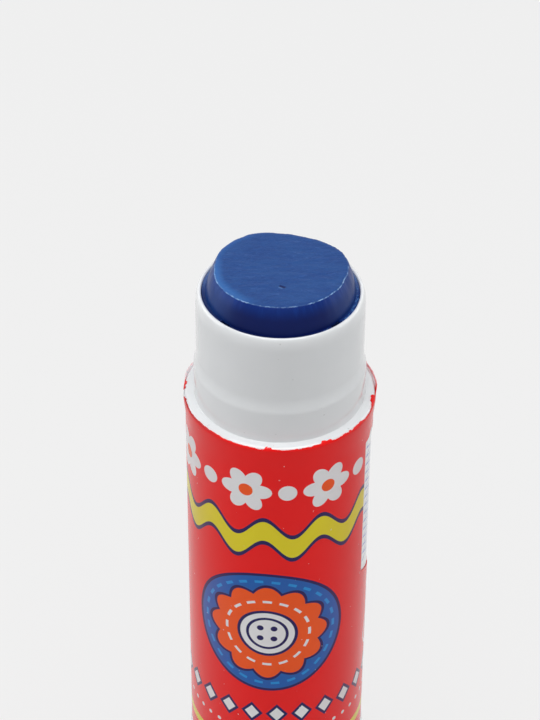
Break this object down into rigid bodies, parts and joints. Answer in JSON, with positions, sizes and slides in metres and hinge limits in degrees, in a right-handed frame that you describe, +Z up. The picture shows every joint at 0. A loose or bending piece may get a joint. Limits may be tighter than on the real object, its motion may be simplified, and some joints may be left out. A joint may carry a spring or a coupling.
{
  "type": "glue stick",
  "caption": "Twist-up glue stick with its cap off: a knob turns a left-hand screw that lifts a block of glue out of a printed barrel.",
  "frame": {"origin": "centre of the twist knob's foot, on the surface that the stick stands on", "axes": "+Z up along the stick's axis towards the glue, -Y towards the middle of the printed design, +X towards the film's unprinted window"},
  "size_m": [0.0194, 0.0194, 0.0715],
  "materials": {
    "barrel_plastic": "glossy white moulded polypropylene",
    "label_print": null,
    "blue_glue": "waxy cast glue, slightly translucent at thin edges",
    "inner_plastic": "natural moulded polypropylene",
    "knob_plastic": "satin white moulded polypropylene"
  },
  "bodies": {
    "barrel": {"barrel": "barrel_plastic", "label_film": "label_print"},
    "knob": {"twist_knob": "knob_plastic", "spindle": "inner_plastic"},
    "carriage": {"carrier_cup": "inner_plastic", "glue_block": "blue_glue"}
  },
  "joints": [
    {"name": "knob_turn", "type": "hinge", "parent": "barrel", "child": "knob", "pos_m": [0, 0, 0], "axis": [0, 0, 1], "range_deg": [-900, 3600]},
    {"name": "glue_feed", "type": "slide", "parent": "barrel", "child": "carriage", "axis": [0, 0, 1], "range_m": [-0.008, 0.032]}
  ],
  "couplings": [
    {"joint": "knob_turn", "follows": "glue_feed", "rad_per_m": 1963.5}
  ]
}
